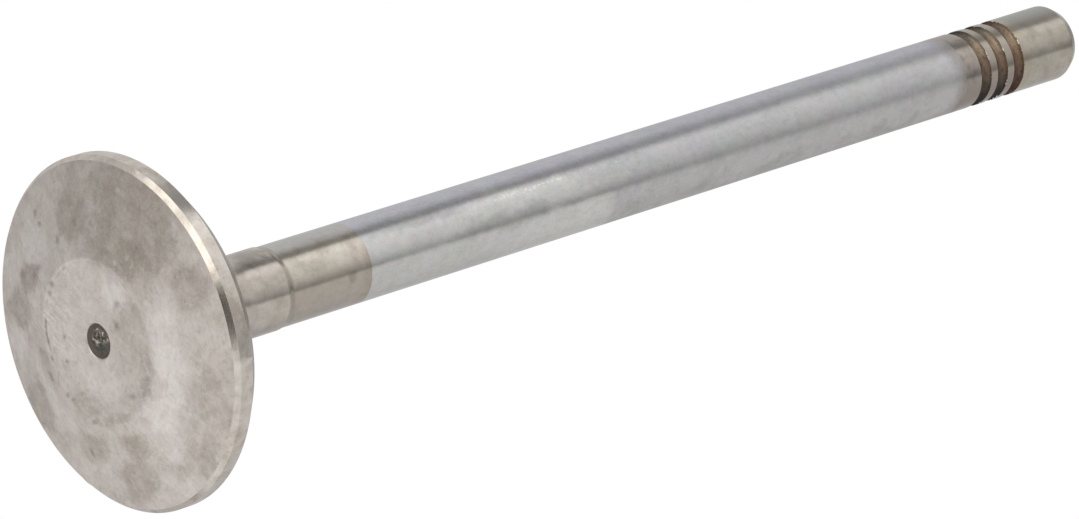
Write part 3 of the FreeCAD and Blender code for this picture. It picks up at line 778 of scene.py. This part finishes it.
floor_mesh = bpy.data.meshes.new("floor")
corners = [
    Matrix.Rotation(math.tau * k / FLOOR_SIDES, 3, "Z") @ Vector((FLOOR_RADIUS, 0, -FLOOR_GAP * MM))
    for k in range(FLOOR_SIDES)
]
floor_mesh.from_pydata(corners, [], [list(range(FLOOR_SIDES))])
floor = bpy.data.objects.new("floor", floor_mesh)
bpy.context.scene.collection.objects.link(floor)
for ray in ("diffuse", "glossy", "transmission", "volume_scatter", "shadow"):
    setattr(floor, "visible_" + ray, False)
paper = bpy.data.materials.new("pale_floor_paper")
paper.use_nodes = True
tree = paper.node_tree
tree.nodes.clear()
place = add(tree, "ShaderNodeTexCoord").outputs["Object"]
away = add(tree, "ShaderNodeVectorMath", {0: place}, operation="LENGTH")
fade = add(tree, "ShaderNodeMapRange", {
    "Value": away.outputs["Value"], "From Min": FADE_FROM, "From Max": FADE_TO},
    interpolation_type="SMOOTHSTEP")
matt = add(tree, "ShaderNodeBsdfDiffuse", {"Color": colour("#F4F3F1")})
white = add(tree, "ShaderNodeEmission", {"Color": (1, 1, 1, 1), "Strength": 1.0})
sheet = add(tree, "ShaderNodeMixShader", {0: fade.outputs[0], 1: matt.outputs[0], 2: white.outputs[0]})
behind = add(tree, "ShaderNodeNewGeometry").outputs["Backfacing"]
clear = add(tree, "ShaderNodeBsdfTransparent")
one_sided = add(tree, "ShaderNodeMixShader", {0: behind, 1: sheet.outputs[0], 2: clear.outputs[0]})
add(tree, "ShaderNodeOutputMaterial", {"Surface": one_sided.outputs[0]})
floor_mesh.materials.append(paper)


# The light tent: a wall of white cloth round the valve, seen only in its polished metal. The
# cloth is brightest where the softbox stands behind it, and dark at its two seams.
TENT_RADIUS = 1.6
TENT_LOW = -12
TENT_HIGH = 74
TENT_FOLD = 41
TENT_TOP_FOLD = 48
# Heading from the camera's side, in degrees towards +X, and how bright the cloth is there
CLOTH = (
    (-180, 0.58), (-160, 0.64), (-148, 0.71), (-124, 0.80), (-112, 0.84), (-100, 0.81), (-90, 0.66),
    (-76, 0.33), (-65, 0.31), (-59, 1.04), (-52, 1.27), (-42, 1.23), (-30, 1.00), (-16, 0.92),
    (-4, 0.83), (8, 0.71), (20, 0.54), (29, 0.36), (32, 0.38), (36, 0.83), (60, 0.80), (92, 0.76),
    (104, 0.71), (116, 0.66), (140, 0.60), (180, 0.56),
)
# The same for the upper part of the wall, where the softbox is farther off
CLOTH_ABOVE = (
    (-180, 0.58), (-160, 0.62), (-148, 0.68), (-124, 0.78), (-112, 0.80), (-100, 0.74), (-90, 0.60),
    (-76, 0.33), (-65, 0.31), (-59, 0.84), (-52, 0.98), (-42, 1.00), (-30, 0.94), (-16, 0.88),
    (-4, 0.82), (8, 0.73), (20, 0.56), (29, 0.40), (32, 0.42), (36, 0.80), (60, 0.77), (92, 0.73),
    (104, 0.69), (116, 0.65), (140, 0.60), (180, 0.56),
)
# And for the top of the wall, which the keeper grooves and the tip reflect
CLOTH_TOP = (
    (-180, 0.58), (-160, 0.62), (-148, 0.68), (-124, 0.78), (-112, 0.80), (-100, 0.74), (-90, 0.62),
    (-76, 0.50), (-66, 0.50), (-60, 0.98), (-52, 1.12), (-42, 1.10), (-30, 0.90), (-16, 0.86),
    (-4, 0.80), (8, 0.70), (20, 0.48), (29, 0.32), (34, 0.34), (40, 0.74), (60, 0.77), (92, 0.75),
    (104, 0.72), (116, 0.70), (140, 0.66), (180, 0.56),
)


def wall(name, headings, heights, brightness, tint="#FFFFFF", columns=48, rows=12):
    """A glowing curved card between two headings and two heights above the horizon, in degrees.
    It is seen only in reflections."""
    vertices = []
    for row in range(rows + 1):
        up = math.radians(heights[0] + (heights[1] - heights[0]) * row / rows)
        for column in range(columns + 1):
            round_to = math.radians(headings[0] + (headings[1] - headings[0]) * column / columns)
            vertices.append((
                TENT_RADIUS * math.sin(round_to) * math.cos(up),
                -TENT_RADIUS * math.cos(round_to) * math.cos(up),
                TENT_RADIUS * math.sin(up),
            ))
    faces = [
        (k, k + 1, k + columns + 2, k + columns + 1)
        for row in range(rows) for k in range(row * (columns + 1), row * (columns + 1) + columns)
    ]
    mesh = bpy.data.meshes.new(name)
    mesh.from_pydata(vertices, [], faces)
    card = bpy.data.objects.new(name, mesh)
    bpy.context.scene.collection.objects.link(card)
    for ray in ("camera", "diffuse", "transmission", "volume_scatter", "shadow"):
        setattr(card, "visible_" + ray, False)
    cloth = bpy.data.materials.new(name + "_cloth")
    cloth.use_nodes = True
    cloth.cycles.emission_sampling = "NONE"
    tree = cloth.node_tree
    tree.nodes.clear()
    glow = brightness
    if not isinstance(brightness, (int, float)):
        place = add(tree, "ShaderNodeTexCoord").outputs["Object"]
        from_camera = add(tree, "ShaderNodeMapping", {"Vector": place, "Rotation": (0, 0, math.pi / 2)})
        heading = add(tree, "ShaderNodeTexGradient", {0: from_camera.outputs[0]}, gradient_type="RADIAL")
        cloth_ramp = add(tree, "ShaderNodeValToRGB", {0: heading.outputs["Fac"]}, stops=[
            (turned / 360 + 0.5, value / 2) for turned, value in brightness])
        glow = add(tree, "ShaderNodeMath", {
            0: cloth_ramp.outputs[0], 1: 2.0}, operation="MULTIPLY").outputs[0]
    lit = add(tree, "ShaderNodeEmission", {"Color": colour(tint), "Strength": glow})
    add(tree, "ShaderNodeOutputMaterial", {"Surface": lit.outputs[0]})
    mesh.materials.append(cloth)


# The cloth all round, then a dim ceiling. Low down, two softboxes with a gap between them light the
# bevel, a dark shade hides the camera, and plain cards give the sides a grey to mirror.
wall("light_tent", (-180, 180), (TENT_LOW, TENT_FOLD), CLOTH, columns=144)
wall("light_tent_above", (-180, 180), (TENT_FOLD, TENT_TOP_FOLD), CLOTH_ABOVE, columns=144, rows=4)
wall("light_tent_top", (-180, 180), (TENT_TOP_FOLD, TENT_HIGH), CLOTH_TOP, columns=144)
wall("ceiling", (-180, 180), (TENT_HIGH, 90), 0.42, columns=96)
wall("low_softbox", (-58, -17), (-58, -18), 1.8, tint="#FFFDF6")
wall("low_softbox_far", (-92, -66), (-58, -18), 1.66, tint="#FFFDF6")
wall("camera_shade", (-14, 28), (-62, -40), 0.03, tint="#F4ECE4")
wall("dim_side", (-172, -100), (-66, -12), 0.64)
wall("grey_side", (29, 130), (-62, -12), 0.94)


# The lamps: a broad soft lamp over the valve, which gives the floor its shadow, and a weak one
# under it. The world is white to the camera and in the metal, and dimmer as light on matt parts.
def lamp(name, place, aim, size, strength):
    """A square soft lamp; strength is the brightness of its surface, where white is 1."""
    data = bpy.data.lights.new(name, "AREA")
    data.shape = "SQUARE"
    data.size = size
    data.energy = strength * math.pi * size * size
    made = bpy.data.objects.new(name, data)
    made.location = place
    made.rotation_euler = (Vector(aim) - Vector(place)).to_track_quat("-Z", "Y").to_euler()
    made.visible_camera = False
    made.visible_glossy = False
    bpy.context.scene.collection.objects.link(made)


ROOM_ON_MATT = 0.62

lamp("key_softbox", (-0.7, -0.5, 1.3), (0, 0, 0.05), 0.9, 2.6)
lamp("under_softbox", (-0.3, -0.9, -0.9), (0, 0, 0.03), 0.9, 1.2)

world = bpy.data.worlds.new("white_studio")
bpy.context.scene.world = world
world.use_nodes = True
world.cycles.sampling_method = "NONE"
tree = world.node_tree
tree.nodes.clear()
path = add(tree, "ShaderNodeLightPath").outputs
seen = add(tree, "ShaderNodeMath", {0: path["Is Camera Ray"], 1: path["Is Glossy Ray"]}, operation="ADD")
seen = add(tree, "ShaderNodeMath", {
    0: seen.outputs[0], 1: path["Is Transmission Ray"]}, operation="ADD", use_clamp=True)
strength = add(tree, "ShaderNodeMapRange", {"Value": seen.outputs[0], "To Min": ROOM_ON_MATT, "To Max": 1.0})
sky = add(tree, "ShaderNodeBackground", {"Color": (1, 1, 1, 1), "Strength": strength.outputs[0]})
add(tree, "ShaderNodeOutputWorld", {"Surface": sky.outputs[0]})


# The camera: it looks up at the face from below and in front, with the stem rising to the right.
CAMERA_PLACE = Vector((0.0, -571.84, -420.06))
CAMERA_AIM = Vector((6.676, 0.0, 67.411))
STEM_RISE = math.radians(17.93)
LENS = 205.174
SENSOR_WIDTH = 36.0

camera_data = bpy.data.cameras.new("camera")
camera_data.lens = LENS
camera_data.sensor_width = SENSOR_WIDTH
camera_data.clip_start = 0.05
camera_data.clip_end = 20.0
camera = bpy.data.objects.new("camera", camera_data)
bpy.context.scene.collection.objects.link(camera)
forward = (CAMERA_AIM - CAMERA_PLACE).normalized()
along_stem = (Vector((0, 0, 1)) - forward * forward.z).normalized()
across = along_stem.cross(forward)
right = along_stem * math.cos(STEM_RISE) - across * math.sin(STEM_RISE)
up = right.cross(forward)
turned = Matrix((right, up, -forward)).transposed()
camera.matrix_world = Matrix.Translation(CAMERA_PLACE * MM) @ turned.to_4x4()
bpy.context.scene.camera = camera

bpy.context.scene.view_settings.view_transform = "Standard"
